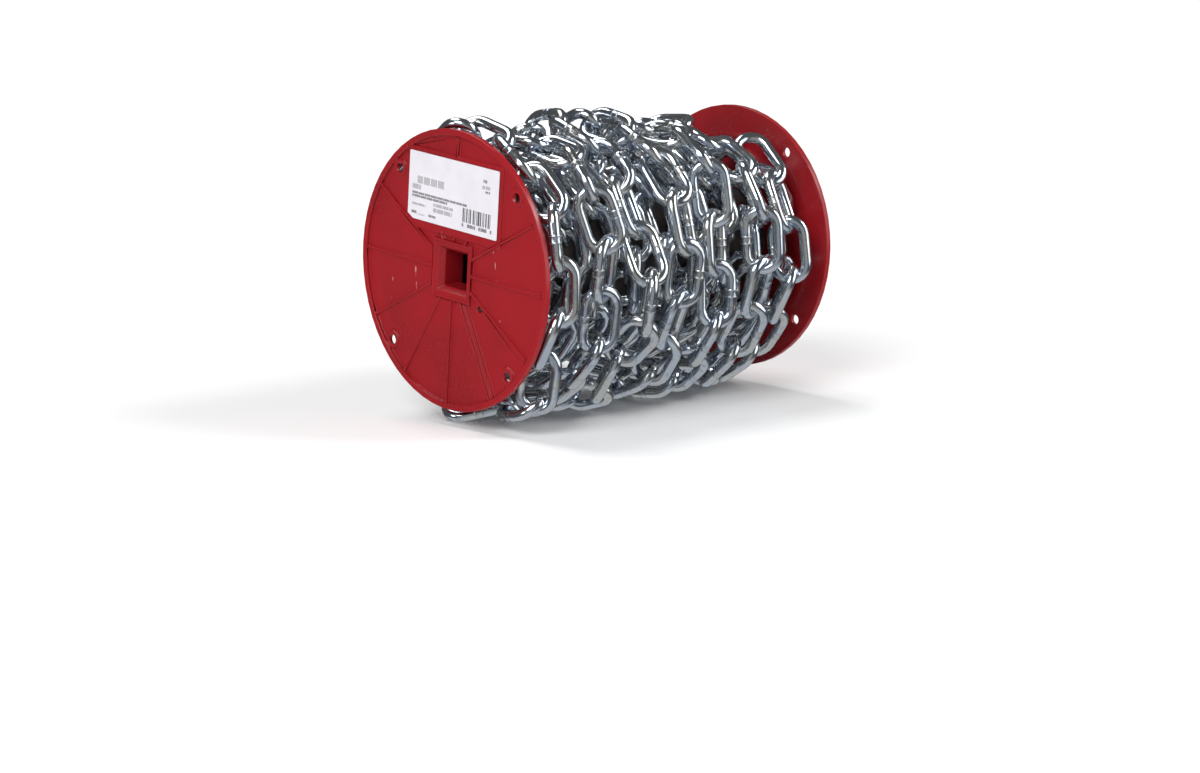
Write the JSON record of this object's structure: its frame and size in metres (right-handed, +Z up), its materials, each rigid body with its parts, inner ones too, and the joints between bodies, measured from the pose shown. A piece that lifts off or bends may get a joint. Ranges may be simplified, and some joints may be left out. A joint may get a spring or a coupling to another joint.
{
  "type": "reel of steel chain",
  "caption": "Red plastic reel with square arbor holes, wound with zinc-plated short-link steel chain, lying on its side on the slack loops of its own outer layer.",
  "frame": {"origin": "bottom centre of the reel and its chain as they lie on a level surface", "axes": "X along the reel's axis, from the flange with the label to the other; Z up"},
  "size_m": [0.1928, 0.1496, 0.1491],
  "materials": {
    "red_plastic": "moulded, satin",
    "zinc_plated_steel": "bright zinc plate",
    "label_paper": "smooth coated label",
    "tube_board": "plain wound board"
  },
  "bodies": {
    "root": {"flange_near": "red_plastic", "flange_far": "red_plastic", "barrel": "tube_board", "label": "label_paper", "chain_core": "zinc_plated_steel", "chain_inner_turns": "zinc_plated_steel", "chain_turn_1_front": "zinc_plated_steel", "chain_turn_1_under": "zinc_plated_steel", "chain_turn_1_back": "zinc_plated_steel", "chain_turn_2_front": "zinc_plated_steel", "chain_turn_2_under": "zinc_plated_steel", "chain_turn_2_back": "zinc_plated_steel", "chain_turn_3_front": "zinc_plated_steel", "chain_turn_3_under": "zinc_plated_steel", "chain_turn_3_back": "zinc_plated_steel", "chain_turn_4_front": "zinc_plated_steel", "chain_turn_4_under": "zinc_plated_steel", "chain_turn_4_back": "zinc_plated_steel", "chain_turn_5_front": "zinc_plated_steel", "chain_turn_5_under": "zinc_plated_steel", "chain_turn_5_back": "zinc_plated_steel", "chain_turn_6_front": "zinc_plated_steel", "chain_turn_6_under": "zinc_plated_steel", "chain_turn_6_back": "zinc_plated_steel", "chain_turn_7_front": "zinc_plated_steel", "chain_tail": "zinc_plated_steel", "chain_end_link": "zinc_plated_steel"}
  },
  "joints": []
}
